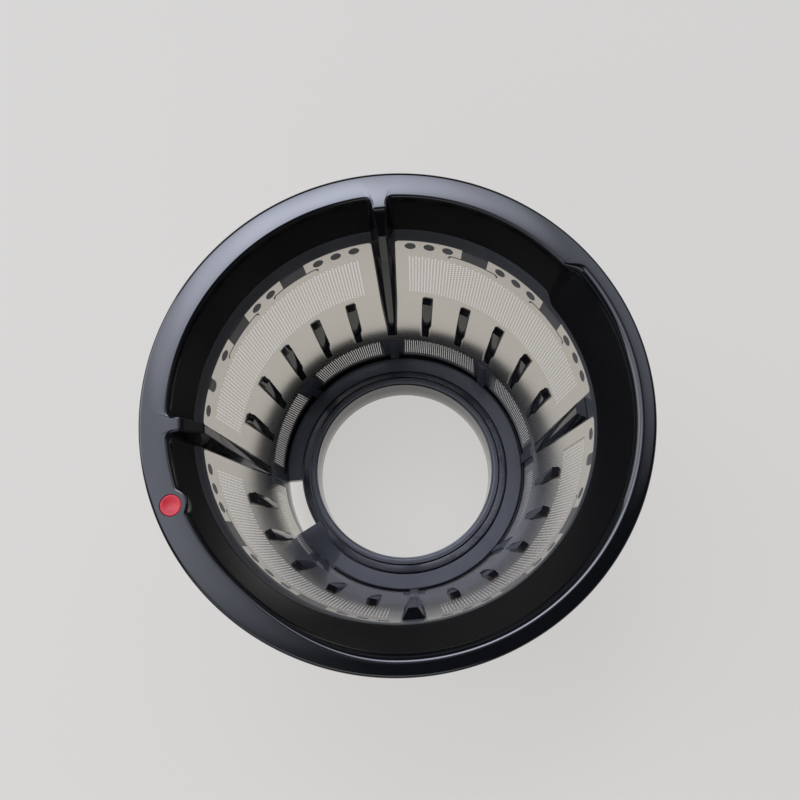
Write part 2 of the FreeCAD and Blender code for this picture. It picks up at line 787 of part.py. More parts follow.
def check(pieces):
    """Stops if any object failed or any piece isn't one valid solid."""
    failed = [item.Name for item in doc.Objects if {"Invalid", "Error"} & set(item.State)]
    if failed:
        raise RuntimeError(f"failed objects: {failed}")
    for piece in pieces:
        shape = piece.Shape
        if shape.isNull() or not shape.isValid() or len(shape.Solids) != 1:
            raise RuntimeError(f"{piece.Label} is not one valid solid")


def write(pieces):
    """Writes each piece to its own STEP file."""
    os.makedirs("parts", exist_ok=True)
    for piece in pieces:
        piece.Shape.exportStep(f"parts/{piece.Label}.step")
        print(piece.Label, round(piece.Shape.Volume, 1), "mm3", len(piece.Shape.Faces), "faces")


doc = FreeCAD.newDocument("strainer_basket")
sizes = make_sheet_of_sizes()
plain_sheet = make_rear_sheet()
frame_piece = make_frame(plain_sheet, turned_sheet("plain_sheet_front", plain_sheet))
rear_sheet = join("Part::Cut", "screen_sheet_rear", plain_sheet, mesh_openings())
front_sheet = turned_sheet("screen_sheet_front", rear_sheet)
parts = [frame_piece, rear_sheet, front_sheet, make_index_plug()]
check(parts)
write(parts)
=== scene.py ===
import math
from functools import partial

import bmesh
import bpy
from mathutils import Matrix, Vector


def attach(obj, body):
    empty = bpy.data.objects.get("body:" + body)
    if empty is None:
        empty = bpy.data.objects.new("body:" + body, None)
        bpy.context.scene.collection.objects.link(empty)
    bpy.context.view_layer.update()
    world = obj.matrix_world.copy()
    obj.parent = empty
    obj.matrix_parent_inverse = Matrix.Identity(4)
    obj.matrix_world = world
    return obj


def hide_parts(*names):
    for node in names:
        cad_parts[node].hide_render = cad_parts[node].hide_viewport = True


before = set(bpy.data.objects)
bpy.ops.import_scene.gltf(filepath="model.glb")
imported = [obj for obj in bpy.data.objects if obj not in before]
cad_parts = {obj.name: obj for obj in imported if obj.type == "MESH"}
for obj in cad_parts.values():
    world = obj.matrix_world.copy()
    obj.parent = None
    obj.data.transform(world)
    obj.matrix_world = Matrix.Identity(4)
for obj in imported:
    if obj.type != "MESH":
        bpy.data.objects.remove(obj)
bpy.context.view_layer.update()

# Lengths here are in millimetres, depths run down from the top of the rim, azimuths are in degrees.
MM = 0.001
RIM_TOP = 104.0
# How far the plastic lies behind the cone, and the thicknesses of sheet, mesh and cage.
LINER = 0.04
STEEL = 0.2
ETCHED = 0.04
CAGE_WALL = 2.4
COLLAR_FOOT = 22.0
CONE_TOP, CONE_FOOT = 15.4, 91.0
CONE_TOP_RADIUS, CONE_FOOT_RADIUS = 48.8, 40.25
# Where the collar's wide sector starts with a step, and where it fades out.
STEP, FADE_START, FADE_END = 34.0, 222.0, 265.0
HEADED_RIBS = (90.0, 180.0)
# Half the width of the collar that a rib's head takes up, and the radius it is measured at.
RIB_REACH = 6.0
RIB_ARM = 52.0
RIB_BEND, RIB_FOOT = 7.0, 73.0
PLUG_AZIMUTH, PLUG_RADIUS_AT, PLUG_RADIUS, PLUG_DEPTH = 199.7, 55.8, 2.5, 2.0
BOSS_RADIUS = 4.1
OUTLET = (180.9, 207.5)
RAMP_END = 230.0


def mix(low, high, share):
    """Value between two others."""
    return low + (high - low) * share


def between(value, stops, results):
    """Piecewise straight curve through stops."""
    if value <= stops[0]:
        return results[0]
    for index in range(1, len(stops)):
        if value <= stops[index]:
            share = (value - stops[index - 1]) / (stops[index] - stops[index - 1])
            return mix(results[index - 1], results[index], share)
    return results[-1]


def cone(depth):
    """Radius of the basket's inner cone."""
    return mix(CONE_TOP_RADIUS, CONE_FOOT_RADIUS, (depth - CONE_TOP) / (CONE_FOOT - CONE_TOP))


def at(radius, azimuth, depth):
    """Point of the object in metres."""
    turn = math.radians(azimuth)
    return (radius * math.cos(turn) * MM, radius * math.sin(turn) * MM, (RIM_TOP - depth) * MM)


def beside(radius, azimuth, across, depth):
    """Point at a sideways distance from an azimuth's upright plane."""
    turn = math.radians(azimuth)
    x = radius * math.cos(turn) - across * math.sin(turn)
    y = radius * math.sin(turn) + across * math.cos(turn)
    return (x * MM, y * MM, (RIM_TOP - depth) * MM)


def curve_spot(start, corner, end, share):
    """Spot on a soft corner."""
    a, b, c = (1 - share) ** 2, 2 * share * (1 - share), share ** 2
    return a * start[0] + b * corner[0] + c * end[0], a * start[1] + b * corner[1] + c * end[1]


def rounded(start, corner, end, count):
    """Points of a soft corner, its two ends left in."""
    return [curve_spot(start, corner, end, step / count) for step in range(count + 1)]


# Finishes

def set_inputs(node, values):
    """Sets inputs of a node, by name or number, to plain values, or links them to sockets."""
    for name, value in values.items():
        if isinstance(value, bpy.types.NodeSocket):
            node.id_data.links.new(value, node.inputs[name])
        else:
            node.inputs[name].default_value = value
    return node


def add_node(tree, kind, values=None, **settings):
    """Node with its properties set and its inputs set or linked."""
    node = tree.nodes.new(kind)
    for name, setting in settings.items():
        setattr(node, name, setting)
    return set_inputs(node, values or {})


def calculate(tree, operation, *values):
    """Result of a Math node on sockets or numbers."""
    return add_node(tree, "ShaderNodeMath", dict(enumerate(values)), operation=operation).outputs[0]


def make_moulding_grain():
    """Soft mottle, sparse flecks and a faint relief, as on injection-moulded plastic."""
    group = bpy.data.node_groups.new("moulding_grain", "ShaderNodeTree")
    group.interface.new_socket("Vector", in_out="INPUT", socket_type="NodeSocketVector")
    for label, default in (("Mottle Scale", 60.0), ("Fleck Scale", 900.0), ("Fleck Amount", 0.3)):
        socket = group.interface.new_socket(label, in_out="INPUT", socket_type="NodeSocketFloat")
        socket.default_value = default
    for label in ("Mottle", "Fleck", "Relief"):
        group.interface.new_socket(label, in_out="OUTPUT", socket_type="NodeSocketFloat")
    given, result = group.nodes.new("NodeGroupInput").outputs, group.nodes.new("NodeGroupOutput")

    def noise(scale, detail, roughness):
        values = {"Vector": given["Vector"], "Scale": scale, "Detail": detail, "Roughness": roughness}
        return add_node(group, "ShaderNodeTexNoise", values).outputs["Fac"]

    fleck_top = 0.78
    fleck_start = calculate(group, "SUBTRACT", fleck_top, given["Fleck Amount"])
    values = {"Value": noise(given["Fleck Scale"], 2.0, 0.7), "From Min": fleck_start, "From Max": fleck_top}
    fleck = add_node(group, "ShaderNodeMapRange", values, clamp=True)
    relief_scale = calculate(group, "MULTIPLY", given["Fleck Scale"], 0.35)
    set_inputs(result, {"Mottle": noise(given["Mottle Scale"], 5.0, 0.6),
                        "Fleck": fleck.outputs["Result"], "Relief": noise(relief_scale, 3.0, 0.5)})
    return group


def colour_mix(tree, low, high, share):
    """Colour between two others."""
    values = {"A": (*low, 1.0), "B": (*high, 1.0), "Factor": share}
    return add_node(tree, "ShaderNodeMix", values, data_type="RGBA").outputs["Result"]


def spread(tree, low, high, mask):
    """Range of values that follows a mask."""
    values = {"Value": mask, "To Min": low, "To Max": high}
    return add_node(tree, "ShaderNodeMapRange", values, clamp=True).outputs["Result"]


def new_finish(name):
    """Empty material with its Principled shader and Object coordinates."""
    material = bpy.data.materials.new(name)
    material.use_nodes = True
    tree = material.node_tree
    shader = tree.nodes["Principled BSDF"]
    place = tree.nodes.new("ShaderNodeTexCoord")
    return material, tree, shader, place.outputs["Object"]


def moulded_finish(name, grain, dark, light, shine, gloss, relief_height, fleck_amount, mottle_scale):
    """Moulded plastic with a mottled colour, uneven gloss and a faint relief."""
    material, tree, shader, place = new_finish(name)
    values = {"Vector": place, "Mottle Scale": mottle_scale, "Fleck Amount": fleck_amount}
    group = add_node(tree, "ShaderNodeGroup", values, node_tree=grain)
    values = {0: group.outputs["Mottle"], 1: group.outputs["Fleck"]}
    blend = add_node(tree, "ShaderNodeMath", values, operation="ADD", use_clamp=True).outputs[0]
    values = {"Strength": 0.25, "Distance": relief_height * MM, "Height": group.outputs["Relief"]}
    bump = add_node(tree, "ShaderNodeBump", values)
    set_inputs(shader, {"Specular IOR Level": shine, "Base Color": colour_mix(tree, dark, light, blend),
                        "Roughness": spread(tree, *gloss, blend), "Normal": bump.outputs["Normal"]})
    return material


def steel_finish(name, dark, light, gloss):
    """Cold-rolled stainless sheet with a cloudy sheen."""
    material, tree, shader, place = new_finish(name)
    values = {"Vector": place, "Scale": 45.0, "Detail": 3.0}
    cloud = add_node(tree, "ShaderNodeTexNoise", values).outputs["Fac"]
    set_inputs(shader, {"Metallic": 1.0, "Base Color": colour_mix(tree, dark, light, cloud),
                        "Roughness": spread(tree, *gloss, cloud)})
    return material


grain = make_moulding_grain()
gloss_black = moulded_finish("gloss_black", grain, (0.0020, 0.0021, 0.0026), (0.0034, 0.0036, 0.0042),
                             0.34, (0.05, 0.10), 0.004, 0.10, 40.0)
wall_black = moulded_finish("wall_black", grain, (0.0020, 0.0021, 0.0026), (0.0034, 0.0036, 0.0042),
                            0.18, (0.20, 0.26), 0.004, 0.10, 40.0)
satin_black = moulded_finish("satin_black", grain, (0.021, 0.022, 0.026), (0.034, 0.036, 0.042),
                             0.6, (0.24, 0.34), 0.02, 0.22, 120.0)
floor_black = moulded_finish("floor_black", grain, (0.025, 0.0275, 0.035), (0.037, 0.0405, 0.050),
                             0.5, (0.30, 0.42), 0.02, 0.25, 150.0)
speckled_black = moulded_finish("speckled_black", grain, (0.002, 0.0025, 0.0035), (0.078, 0.084, 0.102),
                                0.5, (0.25, 0.5), 0.2, 0.40, 1500.0)
plug_red = moulded_finish("plug_red", grain, (0.30, 0.008, 0.014), (0.42, 0.017, 0.026),
                          0.3, (0.40, 0.50), 0.01, 0.10, 500.0)
rolled_steel = steel_finish("rolled_steel", (0.66, 0.63, 0.575), (0.74, 0.71, 0.655), (0.14, 0.19))
# Dark steel for the hole walls and the sheet's cut edges is painted shade: the same steel made darker so
# holes and edges read as dark lines and catch no glints.
painted_shade_steel = steel_finish("painted_shade_steel", (0.06, 0.057, 0.052), (0.11, 0.104, 0.096), (0.45, 0.55))
FRAME_FINISHES = [gloss_black, satin_black, floor_black, speckled_black, wall_black]
GLOSS, SATIN, FLOOR, SPECKLED, WALL = range(5)


# Mesh making

def placed(name, data):
    """New object in the scene."""
    piece = bpy.data.objects.new(name, data)
    bpy.context.scene.collection.objects.link(piece)
    return piece


def make_piece(name, points, faces, finishes, face_finish=None):
    """Object from points and faces, with a finish for each face where they differ."""
    mesh = bpy.data.meshes.new(name)
    mesh.from_pydata(points, [], faces)
    for finish in finishes:
        mesh.materials.append(finish)
    if face_finish:
        mesh.polygons.foreach_set("material_index", face_finish)
    return placed(name, mesh)


def settle(piece, crease=32.0):
    """Merges doubled points, turns the faces outwards and smooths them except at sharp edges."""
    mesh = piece.data
    shape = bmesh.new()
    shape.from_mesh(mesh)
    bmesh.ops.remove_doubles(shape, verts=shape.verts, dist=0.002 * MM)
    bmesh.ops.recalc_face_normals(shape, faces=shape.faces)
    shape.to_mesh(mesh)
    shape.free()
    mesh.polygons.foreach_set("use_smooth", [True] * len(mesh.polygons))
    mesh.set_sharp_from_angle(angle=math.radians(crease))
    return piece


def panel(rows, column, after, row, up):
    """Face between two columns of points and two of their rows."""
    return column * rows + row, after * rows + row, after * rows + up, column * rows + up


def ring(name, columns, face_finish):
    """Closed ring from equal columns of points, each a loop, with a finish for each column and row."""
    rows = len(columns[0])
    points = [point for column in columns for point in column]
    faces, finish = [], []
    for column in range(len(columns)):
        after = (column + 1) % len(columns)
        for row in range(rows):
            faces.append(panel(rows, column, after, row, (row + 1) % rows))
            finish.append(face_finish(column, row))
    return settle(make_piece(name, points, faces, FRAME_FINISHES, finish))


def tube_faces(layers, count):
    """Faces between closed loops of points, layer after layer."""
    faces = []
    for base in range(0, layers * count, count):
        for index in range(count):
            after = (index + 1) % count
            faces.append((base + index, base + after, base + count + after, base + count + index))
    return faces


def prism(name, sections, finish):
    """Closed solid through sections of equal numbers of points."""
    count, layers = len(sections[0]), len(sections) - 1
    points = [point for section in sections for point in section]
    ends = [tuple(range(count)), tuple(range(layers * count, (layers + 1) * count))]
    faces = ends + tube_faces(layers, count)
    return settle(make_piece(name, points, faces, FRAME_FINISHES, [finish] * len(faces)))


def join(name, pieces):
    """One object from several, with their materials kept."""
    shape = bmesh.new()
    finishes = []
    for piece in pieces:
        before = len(shape.faces)
        shape.from_mesh(piece.data)
        shape.faces.ensure_lookup_table()
        slots = []
        for material in piece.data.materials:
            if material not in finishes:
                finishes.append(material)
            slots.append(finishes.index(material))
        for face in shape.faces[before:]:
            face.material_index = slots[face.material_index]
    mesh = bpy.data.meshes.new(name)
    shape.to_mesh(mesh)
    shape.free()
    for finish in finishes:
        mesh.materials.append(finish)
    for piece in pieces:
        old = piece.data
        bpy.data.objects.remove(piece)
        bpy.data.meshes.remove(old)
    return placed(name, mesh)


def evaluated_mesh(piece):
    """New mesh of an object, with its modifiers or its filled outline worked out."""
    bpy.context.view_layer.update()
    shown = piece.evaluated_get(bpy.context.evaluated_depsgraph_get())
    return bpy.data.meshes.new_from_object(shown)


def as_plain_mesh(piece):
    """Turns an object's evaluated modifiers into its own mesh."""
    mesh = evaluated_mesh(piece)
    piece.modifiers.clear()
    piece.data = mesh
    return piece


# Collar and rim

# Each pair is for the wide sector and for the cut-away one.
BAND_RADII, BAND_DEPTHS, EDGE_RADII, EDGE_ROUNDS = (50.2, 49.3), (11.7, 14.1), (53.3, 55.7), (0.7, 1.6)
RIM_RADIUS, RIM_FOOT = 60.0, 6.5


def soft_step(value, start, end):
    """Soft rise from none to all between two values."""
    share = max(0.0, min(1.0, (value - start) / (end - start)))
    return share * share * (3 - 2 * share)


def cutaway_share(azimuth):
    """How far the collar is cut away: none on its wide sector, all on the cut sector."""
    azimuth %= 360
    return 1.0 - soft_step(azimuth, STEP - 2.4, STEP + 2.4) + soft_step(azimuth, FADE_START, FADE_END)


def wall_radius(depth, share):
    """Inside of the collar, from the cone up through the flared band to the rim."""
    band_radius, band_depth = mix(*BAND_RADII, share), mix(*BAND_DEPTHS, share)
    if depth >= CONE_TOP:
        return cone(depth) + LINER
    if depth >= band_depth:
        return mix(CONE_TOP_RADIUS + LINER, band_radius, (CONE_TOP - depth) / (CONE_TOP - band_depth))
    return mix(band_radius, mix(*EDGE_RADII, share), (band_depth - depth) / band_depth)


def rib_face(depth):
    """Radius that a main rib reaches in to."""
    if depth < RIB_BEND:
        return mix(46.23, 50.1, (RIB_BEND - depth) / RIB_BEND)
    return 42.27 + 0.06 * (RIB_FOOT - depth)


def rib_half(depth):
    """Half the width of a main rib's inner face."""
    return between(depth, (0.0, RIB_BEND, CONE_TOP, RIB_FOOT), (1.95, 1.25, 1.18, 0.9))


def rib_root_half(depth):
    """Half the width of a main rib where it meets the wall."""
    return between(depth, (0.0, RIB_BEND, CONE_TOP, 50.0, RIB_FOOT), (2.0, 3.1, 3.3, 2.55, 1.52))


def rib_path(share, depth, wall):
    """Sideways distance and radius along a rib head's outline: face, corner, flank, fillet and wall."""
    face = rib_face(depth) + max(0.0, depth - 20.0) * 0.08
    half, root = rib_half(depth), rib_root_half(depth)
    gap = math.hypot(root - half, wall - face)
    stops = (0.0, RIB_BEND, CONE_TOP)
    corner = min(between(depth, stops, (0.75, 0.35, 0.2)), gap * 0.4)
    fillet = min(between(depth, stops, (1.7, 0.7, 0.2)), gap * 0.5)
    lean = ((root - half) / gap, (wall - face) / gap)
    flank_start = (half + corner * lean[0], face + corner * lean[1])
    flank_end = (root - fillet * lean[0], wall - fillet * lean[1])
    if share <= 1:
        return (half - corner) * share, face
    if share <= 2:
        return curve_spot((half - corner, face), (half, face), flank_start, share - 1)
    if share <= 3:
        return mix(flank_start[0], flank_end[0], share - 2), mix(flank_start[1], flank_end[1], share - 2)
    if share <= 4:
        return curve_spot(flank_end, (root, wall), (root + fillet, wall), share - 3)
    return mix(root + fillet, RIB_REACH, share - 4), wall


def boss_radius(azimuth, wall, depth):
    """Inside of the collar where the index plug's boss stands out of it, less so with depth."""
    across = math.radians(azimuth - PLUG_AZIMUTH) * PLUG_RADIUS_AT
    if abs(across) >= BOSS_RADIUS:
        return wall
    boss = PLUG_RADIUS_AT - math.sqrt(BOSS_RADIUS ** 2 - across ** 2) + max(0.0, depth - 1.6) * 0.6
    blend = 0.5
    share = max(0.0, min(1.0, 0.5 + 0.5 * (wall - boss) / blend))
    return mix(wall, boss, share) - blend * share * (1 - share)


def collar_columns():
    """Azimuths of the collar's sections: plain ones, and ones that follow a rib's head."""
    plain = [1.5 * step for step in range(240)]
    plain += [STEP - 2.75 + 0.4 * step for step in range(15)]
    plain += [PLUG_AZIMUTH - 6.0 + 0.3 * step for step in range(41)]
    reach = math.degrees(RIB_REACH / RIB_ARM)
    plain = [value for value in plain if all(abs(value - rib) > reach + 0.2 for rib in HEADED_RIBS)]
    columns = [(value, None, 0.0) for value in sorted(set(plain))]
    shares = (0.0, 0.5, 1.0, 1.2, 1.4, 1.6, 1.8, 2.0, 2.5, 3.0, 3.2, 3.4, 3.6, 3.8, 4.0, 4.4, 4.7, 5.0)
    for rib in HEADED_RIBS:
        columns += [(rib + reach * share / 5, rib, share) for share in shares]
        columns += [(rib - reach * share / 5, rib, -share) for share in shares[1:]]
    return sorted(columns)


def collar_inside(column, depth):
    """Radius and azimuth of the collar's inside at one column."""
    azimuth, rib, share = column
    wall = wall_radius(depth, cutaway_share(azimuth))
    if rib is None:
        return boss_radius(azimuth, wall, depth), azimuth
    across, radius = rib_path(abs(share), depth, wall)
    return radius, rib + math.copysign(math.degrees(across / RIB_ARM), share)


def collar_section(before, column, after):
    """Loop of points round the collar's wall at one column, and the rows where satin and wall end."""
    cut = cutaway_share(column[0])
    band_depth, edge_round = mix(*BAND_DEPTHS, cut), mix(*EDGE_ROUNDS, cut)
    depths = [COLLAR_FOOT, 20.0, 18.0, 16.5, CONE_TOP, mix(CONE_TOP, band_depth, 0.5), band_depth]
    satin_rows = len(depths) - 1
    depths += [mix(band_depth, 9.6, 0.5), 9.6, 8.4, 7.4, RIB_BEND, 6.6, 5.6, 4.6, 3.6, 2.6, 1.9]
    loop = []
    for depth in depths:
        radius, turn = collar_inside(column, depth)
        loop.append(at(radius, turn, depth))
    drop = edge_round * 0.9
    low = Vector(at(*collar_inside(column, drop), drop))
    edge = Vector(at(*collar_inside(column, 0.0), 0.0))
    along = Vector(at(*collar_inside(after, 0.0), 0.0)) - Vector(at(*collar_inside(before, 0.0), 0.0))
    inwards = along.cross(Vector((0, 0, 1))).normalized()
    back = edge + inwards * drop * MM
    for step in range(7):
        share = step / 6
        loop.append(tuple(low * (1 - share) ** 2 + edge * 2 * share * (1 - share) + back * share ** 2))
    turn = column[0]
    loop.append(tuple((back + Vector(at(58.7, turn, 0.0))) / 2))
    outline = rounded((59.1, 0.0), (RIM_RADIUS, 0.0), (RIM_RADIUS, 0.9), 6)
    outline += rounded((RIM_RADIUS, 5.6), (RIM_RADIUS, RIM_FOOT), (59.1, RIM_FOOT), 4)
    outline += rounded((58.0, RIM_FOOT), (57.2, RIM_FOOT), (57.15, 7.3), 4)
    outline += rounded((56.5, 13.0), (56.4, 14.0), (55.7, 14.7), 4)
    outline += rounded((52.0, 18.9), (cone(20.0) + CAGE_WALL, 20.0), (cone(21.2) + CAGE_WALL, 21.2), 4)
    outline += [(cone(COLLAR_FOOT) + CAGE_WALL, COLLAR_FOOT)]
    loop += [at(radius, turn, depth) for radius, depth in outline]
    return loop, satin_rows, len(depths) - 1


def make_collar():
    """Rim, collar, flared band and the heads of two ribs, with the index plug's seat sunk in."""
    columns = collar_columns()
    neighbours = zip(columns[-1:] + columns[:-1], columns, columns[1:] + columns[:1])
    sections = [collar_section(*three) for three in neighbours]
    _, satin_rows, wall_rows = sections[0]

    def face_finish(column, row):
        on_rib = columns[column][1] is not None and abs(columns[column][2]) < 3.0
        if on_rib or row >= wall_rows:
            return GLOSS
        return SATIN if row < satin_rows else WALL

    collar = ring("collar", [section[0] for section in sections], face_finish)
    seat = prism("seat", [plug_circle(PLUG_RADIUS + 0.06, depth, 48) for depth in (-1.0, PLUG_DEPTH)], GLOSS)
    hollow = collar.modifiers.new("seat", "BOOLEAN")
    hollow.operation = "DIFFERENCE"
    hollow.solver = "EXACT"
    hollow.object = seat
    as_plain_mesh(collar)
    bpy.data.objects.remove(seat)
    return settle(collar)


def plug_circle(radius, depth, count):
    """Circle of points round the index plug's axis."""
    x, y, z = at(PLUG_RADIUS_AT, PLUG_AZIMUTH, depth)
    turns = [2 * math.pi * step / count for step in range(count)]
    return [(x + radius * MM * math.cos(turn), y + radius * MM * math.sin(turn), z) for turn in turns]


# Cage, floor and spigot

UPPER_WINDOW = (6.5, 83.5)
NEAR_WINDOW = (5.8, 39.2)
FAR_WINDOW = (50.4, 84.6)
LEAN = 1.4
UPPER_FOOT = 44.6
LOWER_TOP, LOWER_FOOT = 76.0, 87.5
CAGE_FOOT = 97.0
# Depth at the outside of those levels of the cage that slope down outwards.
SILLS = {UPPER_FOOT: 55.0, 52.0: 58.0, LOWER_FOOT: CAGE_FOOT}
LIP_TOP, LIP_GROOVE = 88.2, 89.3
UNDER_FLOOR, SKIRT_FOOT, SPIGOT_FOOT = 94.2, 98.5, RIM_TOP
BORE_RADIUS, SPIGOT_RADIUS = 29.5, 32.2
SPECKLE_START, SPECKLE_END = 295.0, 25.0


def leaning(azimuth, depth):
    """Azimuth of an upright line of the cage, tilted between the lower windows."""
    within = azimuth % 90
    middle = (LOWER_TOP + LOWER_FOOT) / 2
    tilt = max(-1.0, min(1.0, (middle - depth) / (middle - LOWER_TOP)))
    share = max(0.0, 1.0 - max(0.0, abs(within - 44.8) - 5.7) / 8.0)
    return azimuth + LEAN * tilt * share


def is_window(azimuth, depth):
    """Whether a spot of the cage is open."""
    within = azimuth % 90
    if COLLAR_FOOT < depth < UPPER_FOOT:
        return UPPER_WINDOW[0] < within < UPPER_WINDOW[1]
    if LOWER_TOP < depth < LOWER_FOOT:
        return NEAR_WINDOW[0] < within < NEAR_WINDOW[1] or FAR_WINDOW[0] < within < FAR_WINDOW[1]
    return False


def make_cage():
    """Cone wall behind the sheets, with wide upper windows, small lower ones and sloped sills."""
    quarter = [0.0, 3.0, 87.0, 42.0, 45.0, 48.0, *NEAR_WINDOW, *FAR_WINDOW, *UPPER_WINDOW]
    quarter += [start + 3.0 * step for start in (9.0, 54.0) for step in range(10)]
    lines = [value + 90.0 * part for part in range(4) for value in sorted(quarter)]
    depths = [COLLAR_FOOT, 28.0, 36.0, UPPER_FOOT, 52.0, 60.0, 68.0, LOWER_TOP, 78.9, 81.75, 84.6, LOWER_FOOT]
    across, down = len(lines), len(depths)
    points = []
    for offset, levels in ((LINER, depths), (CAGE_WALL, [SILLS.get(depth, depth) for depth in depths])):
        for depth, level in zip(depths, levels):
            radius = cone(min(level, CONE_FOOT)) + offset
            points += [at(radius, leaning(line, depth), level) for line in lines]

    def solid(column, row):
        if not 0 <= row < down - 1:
            return False
        left, right = lines[column % across], lines[(column + 1) % across]
        middle = (left + (right if right > left else right + 360.0)) / 2
        return not is_window(middle, (depths[row] + depths[row + 1]) / 2)

    def spot(layer, column, row):
        return layer * across * down + row * across + column % across

    faces, finish = [], []
    for row in range(down - 1):
        for column in range(across):
            if not solid(column, row):
                continue
            finish += [FLOOR if depths[row] >= LOWER_TOP else GLOSS, GLOSS]
            corners = [(column, row), (column + 1, row), (column + 1, row + 1), (column, row + 1)]
            for layer in (0, 1):
                faces.append(tuple(spot(layer, *corner) for corner in corners))
            beyond = [(column, row - 1), (column + 1, row), (column, row + 1), (column - 1, row)]
            for side, (other, level) in enumerate(beyond):
                if not solid(other, level):
                    first, second = corners[side], corners[(side + 1) % 4]
                    faces.append((spot(0, *first), spot(0, *second), spot(1, *second), spot(1, *first)))
                    finish.append(GLOSS)
    used = sorted({index for face in faces for index in face})
    renamed = {index: number for number, index in enumerate(used)}
    faces = [tuple(renamed[index] for index in face) for face in faces]
    points = [points[index] for index in used]
    return settle(make_piece("cage", points, faces, FRAME_FINISHES, finish))


def make_foot():
    """Foot margin, trough, lip, bore, spigot and skirt, with the pulp outlet open."""
    skirt = cone(CONE_FOOT) + CAGE_WALL
    skirt_inside = skirt - 2.4
    outline = [(cone(LOWER_FOOT) + LINER, LOWER_FOOT), (CONE_FOOT_RADIUS + LINER, CONE_FOOT)]
    outline += [(40.2, 91.6), (39.8, 91.6), (39.75, 91.15), (39.55, CONE_FOOT)]
    floor_row = len(outline)
    outline += [(37.5, CONE_FOOT), (34.95, CONE_FOOT), (34.9, 91.7), (34.55, 91.7), (34.5, 90.4)]
    outline += rounded((34.45, 90.25), (34.4, 90.0), (34.1, 89.8), 3)
    band_row = len(outline) - 1
    outline += [(33.2, 89.2), (32.25, 88.75), (32.2, LIP_GROOVE), (31.9, LIP_GROOVE)]
    outline += rounded((31.85, 88.5), (31.8, 88.25), (31.5, LIP_TOP), 3)
    outline += rounded((30.5, LIP_TOP), (29.95, LIP_TOP), (29.9, 88.7), 3)
    outline += [(29.85, 89.2), (BORE_RADIUS, LIP_GROOVE)]
    levels = [depth for _, depth in outline]
    pairs = enumerate(zip(levels, levels[1:]))
    grooves = [row for row, pair in pairs if max(pair) > 91.3 or LIP_GROOVE in pair]
    lip_rows = len(outline) - 2
    outline += [(BORE_RADIUS, 96.0)]
    outline += rounded((BORE_RADIUS, 103.4), (BORE_RADIUS, SPIGOT_FOOT), (30.1, SPIGOT_FOOT), 3)
    outline += rounded((31.6, SPIGOT_FOOT), (SPIGOT_RADIUS, SPIGOT_FOOT), (SPIGOT_RADIUS, 103.4), 3)
    outline += [(radius, UNDER_FLOOR) for radius in (SPIGOT_RADIUS, 34.95, 37.5, 39.55, skirt_inside)]
    under_row = len(outline) - 4
    outline += rounded((skirt_inside, 98.0), (skirt_inside, SKIRT_FOOT), (skirt - 1.9, SKIRT_FOOT), 3)
    outline += rounded((skirt - 0.5, SKIRT_FOOT), (skirt, SKIRT_FOOT), (skirt, 98.1), 3)
    outline += [(skirt, CAGE_FOOT)]
    lines = sorted({*(2.0 * step for step in range(180)), *OUTLET})
    rows = len(outline)
    points = [at(radius, line, depth) for line in lines for radius, depth in outline]
    faces, finish = [], []
    for column, line in enumerate(lines):
        after = (column + 1) % len(lines)
        open_here = OUTLET[0] <= line < OUTLET[1]
        for row in range(rows):
            if open_here and (1 <= row <= floor_row or under_row <= row <= under_row + 2):
                continue
            faces.append(panel(rows, column, after, row, (row + 1) % rows))
            rough = row in (band_row, band_row + 1) and (line < SPECKLE_END or line > SPECKLE_START)
            plain = 1 <= row <= lip_rows and row not in grooves
            finish.append(SPECKLED if rough else FLOOR if plain else GLOSS)
        if open_here:
            for upper, lower in ((floor_row + 1, under_row), (1, under_row + 3)):
                faces.append(panel(rows, column, after, upper, lower))
                finish.append(GLOSS)
    for edge in OUTLET:
        base = lines.index(edge) * rows
        faces.append(tuple(base + row for row in range(1, floor_row + 2)) +
                     tuple(base + row for row in range(under_row, under_row + 4)))
        finish.append(GLOSS)
    return settle(make_piece("foot", points, faces, FRAME_FINISHES, finish))


def make_ramp():
    """Ramp that rises to the lip at the outlet's far edge."""
    steps, inner, outer, sunk = 15, 33.0, 40.9, 92.0
    sections = []
    for step in range(steps + 1):
        line = mix(OUTLET[1], RAMP_END, step / steps)
        top = mix(88.6, 91.02, soft_step(step, 0, steps))
        corners = ((inner, sunk), (outer, sunk), (outer, top), (inner, top))
        sections.append([at(radius, line, depth) for radius, depth in corners])
    return prism("ramp", sections, FLOOR)


# Ribs, ridges and pips

def bevelled(outline, size):
    """Section with each of its inner corners cut by a small bevel."""
    points = [outline[0]]
    for before, corner, after in zip(outline, outline[1:], outline[2:]):
        legs = []
        for other in (before, after):
            gap = math.hypot(other[0] - corner[0], other[1] - corner[1])
            share = min(0.4, size / gap)
            legs.append((mix(corner[0], other[0], share), mix(corner[1], other[1], share)))
        points += rounded(legs[0], corner, legs[1], 2)
    return points + [outline[-1]]


def bar_section(azimuth, depth, outline, bevel):
    """Points of a rib's section, from sideways distances and radii, with bevelled corners."""
    return [beside(radius, azimuth, across, depth) for across, radius in bevelled(outline, bevel)]


def make_rib(azimuth):
    """Shank of a main rib, headless where the collar is cut away."""
    headed = azimuth in HEADED_RIBS
    top = 19.0 if headed else 19.6
    sections = []
    for depth in (top, 20.2, 33.0, 46.0, 60.0, RIB_FOOT):
        sink = 0.12 if headed and depth == top else 0.0
        face, root = rib_face(depth) + sink, cone(depth) + 0.6
        outline = [(-rib_root_half(depth), root), (-rib_half(depth) + sink, face),
                   (rib_half(depth) - sink, face), (rib_root_half(depth), root)]
        sections.append(bar_section(azimuth, depth, outline, 0.22))
    return prism("rib", sections, GLOSS)


